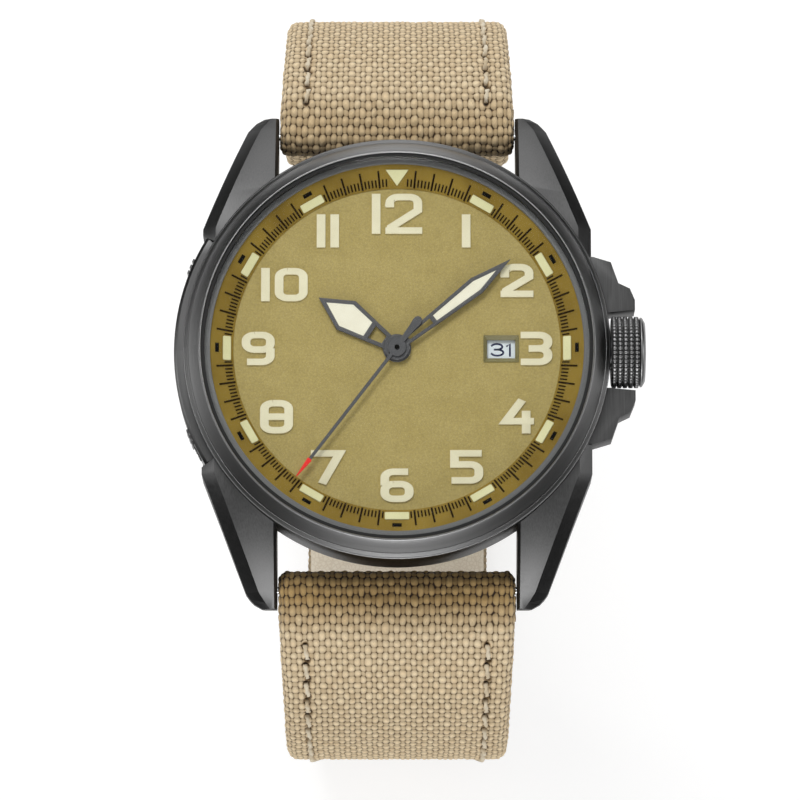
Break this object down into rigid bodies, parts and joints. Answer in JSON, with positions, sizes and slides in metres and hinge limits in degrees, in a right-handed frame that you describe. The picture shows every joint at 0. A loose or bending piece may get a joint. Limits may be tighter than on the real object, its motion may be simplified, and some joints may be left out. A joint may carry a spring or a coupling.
{
  "type": "automatic wristwatch",
  "caption": "Round field watch with a dark brushed case, khaki dial, date window, guarded crown and an open canvas strap that it stands on, dial up.",
  "frame": {"origin": "on the table under the dial's centre, on the flat underside of the strap's tail", "axes": "+Z out of the dial, +Y towards 12 o'clock, +X towards the crown at 3 o'clock"},
  "size_m": [0.0474, 0.0774, 0.072],
  "materials": {
    "case_black": "black-grey coating over a fine circular brush",
    "crystal_glass": "polished mineral glass",
    "black_rubber": "matt",
    "dial_khaki": "fine sandy matt paint",
    "chapter_gold": "darker gold satin paint",
    "lume": "matt cream luminous paint",
    "numeral_cream": "satin cream paint",
    "hand_grey": "satin dark grey coating",
    "date_white": "matt white paint",
    "holder_plastic": "moulded",
    "rhodium": "plated, straight brushed",
    "brass": "gilt, circular grained",
    "steel": "polished steel",
    "ruby": "polished jewel",
    "canvas_khaki": "thick plain-weave canvas with cream stitching",
    "lining_leather": "smooth pale leather"
  },
  "bodies": {
    "head": {"case_middle": "case_black", "case_back": "case_black", "case_back_glass": "crystal_glass", "case_back_gasket": "black_rubber", "bezel": "case_black", "crystal": "crystal_glass", "crystal_gasket": "black_rubber", "side_plate": "case_black", "side_screws": "case_black", "movement_holder": "holder_plastic", "chapter_ring": "chapter_gold", "lume_blocks": "lume", "dial": "dial_khaki", "numerals": "numeral_cream", "date_frame": "numeral_cream", "main_plate": "rhodium", "barrel_bridge": "rhodium", "train_bridge": "rhodium", "balance_bridge": "rhodium", "bridge_screws": "steel", "jewels": "ruby", "ratchet_wheel": "steel", "rotor_bearing": "steel", "crown_tube": "case_black", "spring_bar_12": "steel", "spring_bar_6": "steel"},
    "seconds": {"fourth_wheel": "brass", "seconds_hand": "hand_grey"},
    "minutes": {"centre_wheel": "brass", "minute_hand": "hand_grey", "minute_hand_lume": "lume"},
    "hours": {"hour_wheel": "brass", "hour_hand": "hand_grey", "hour_hand_lume": "lume"},
    "motion_work": {"minute_wheel": "brass"},
    "third": {"third_wheel": "brass"},
    "escape": {"escape_wheel": "steel"},
    "fork": {"pallet_fork": "steel"},
    "balance": {"balance_wheel": "brass", "balance_spring": "steel"},
    "barrel_drum": {"barrel": "brass", "mainspring": "steel"},
    "date": {"date_disc": "date_white"},
    "rotor": {"rotor": "rhodium"},
    "pull": {"setting_lever": "steel"},
    "crown": {"crown": "case_black", "crown_gasket": "black_rubber", "stem": "steel"},
    "strap_12": {"strap_12_cover": "canvas_khaki", "strap_12_lining": "lining_leather", "fixed_keeper": "canvas_khaki"},
    "loop": {"free_keeper": "canvas_khaki"},
    "buckle": {"buckle_frame": "case_black", "buckle_bar": "steel"},
    "tongue": {"buckle_tongue": "case_black"},
    "strap_6": {"strap_6_cover": "canvas_khaki", "strap_6_lining": "lining_leather"}
  },
  "joints": [
    {"name": "seconds_turn", "type": "hinge", "parent": "head", "child": "seconds", "pos_m": [0, 0, 0.06898], "axis": [0, 0, -1], "continuous": true},
    {"name": "minute_turn", "type": "hinge", "parent": "head", "child": "minutes", "pos_m": [0, 0, 0.06898], "axis": [0, 0, -1], "continuous": true},
    {"name": "hour_turn", "type": "hinge", "parent": "head", "child": "hours", "pos_m": [0, 0, 0.06898], "axis": [0, 0, -1], "continuous": true},
    {"name": "motion_turn", "type": "hinge", "parent": "head", "child": "motion_work", "pos_m": [-0.00282, -0.00103, 0.06898], "axis": [0, 0, -1], "continuous": true},
    {"name": "third_turn", "type": "hinge", "parent": "head", "child": "third", "pos_m": [-0.00442, 0.00255, 0.06898], "axis": [0, 0, -1], "continuous": true},
    {"name": "escape_turn", "type": "hinge", "parent": "head", "child": "escape", "pos_m": [0.00383, -0.00321, 0.06898], "axis": [0, 0, -1], "continuous": true},
    {"name": "barrel_turn", "type": "hinge", "parent": "head", "child": "barrel_drum", "pos_m": [0.0034, 0.00589, 0.06898], "axis": [0, 0, -1], "continuous": true},
    {"name": "fork_rock", "type": "hinge", "parent": "head", "child": "fork", "pos_m": [0.00244, -0.00535, 0.06898], "axis": [0, 0, -1], "range_deg": [-5, 5]},
    {"name": "balance_swing", "type": "hinge", "parent": "head", "child": "balance", "pos_m": [0, -0.0091, 0.06898], "axis": [0, 0, -1], "range_deg": [-270, 270], "stiffness_Nm_per_rad": 0.00000016},
    {"name": "date_turn", "type": "hinge", "parent": "head", "child": "date", "pos_m": [0, 0, 0.06898], "axis": [0, 0, -1], "continuous": true},
    {"name": "rotor_turn", "type": "hinge", "parent": "head", "child": "rotor", "pos_m": [0, 0, 0.06338], "axis": [0, 0, -1], "continuous": true},
    {"name": "crown_pull", "type": "slide", "parent": "head", "child": "pull", "axis": [1, 0, 0], "range_m": [0, 0.0012]},
    {"name": "crown_turn", "type": "hinge", "parent": "pull", "child": "crown", "pos_m": [0.0225, 0, 0.06738], "axis": [1, 0, 0], "continuous": true},
    {"name": "strap_12_swing", "type": "hinge", "parent": "head", "child": "strap_12", "pos_m": [0, 0.0234, 0.06218], "axis": [1, 0, 0], "range_deg": [0, 80]},
    {"name": "strap_6_swing", "type": "hinge", "parent": "head", "child": "strap_6", "pos_m": [0, -0.0234, 0.06218], "axis": [-1, 0, 0], "range_deg": [0, 80]},
    {"name": "buckle_swing", "type": "hinge", "parent": "strap_12", "child": "buckle", "pos_m": [0, 0.01784, 0.0014], "axis": [-1, 0, 0], "range_deg": [-45, 100]},
    {"name": "tongue_swing", "type": "hinge", "parent": "buckle", "child": "tongue", "pos_m": [0, 0.01784, 0.0014], "axis": [1, 0, 0], "range_deg": [0, 100]},
    {"name": "loop_slide", "type": "slide", "parent": "strap_12", "child": "loop", "axis": [0, 0.1305, 0.9914], "range_m": [0, 0.012]}
  ],
  "couplings": [
    {"joint": "minute_turn", "follows": "seconds_turn", "ratio": 0.016667},
    {"joint": "hour_turn", "follows": "seconds_turn", "ratio": 0.0013889},
    {"joint": "motion_turn", "follows": "seconds_turn", "ratio": -0.0055556},
    {"joint": "third_turn", "follows": "seconds_turn", "ratio": -0.13333},
    {"joint": "escape_turn", "follows": "seconds_turn", "ratio": -9},
    {"joint": "barrel_turn", "follows": "seconds_turn", "ratio": -0.0025}
  ]
}
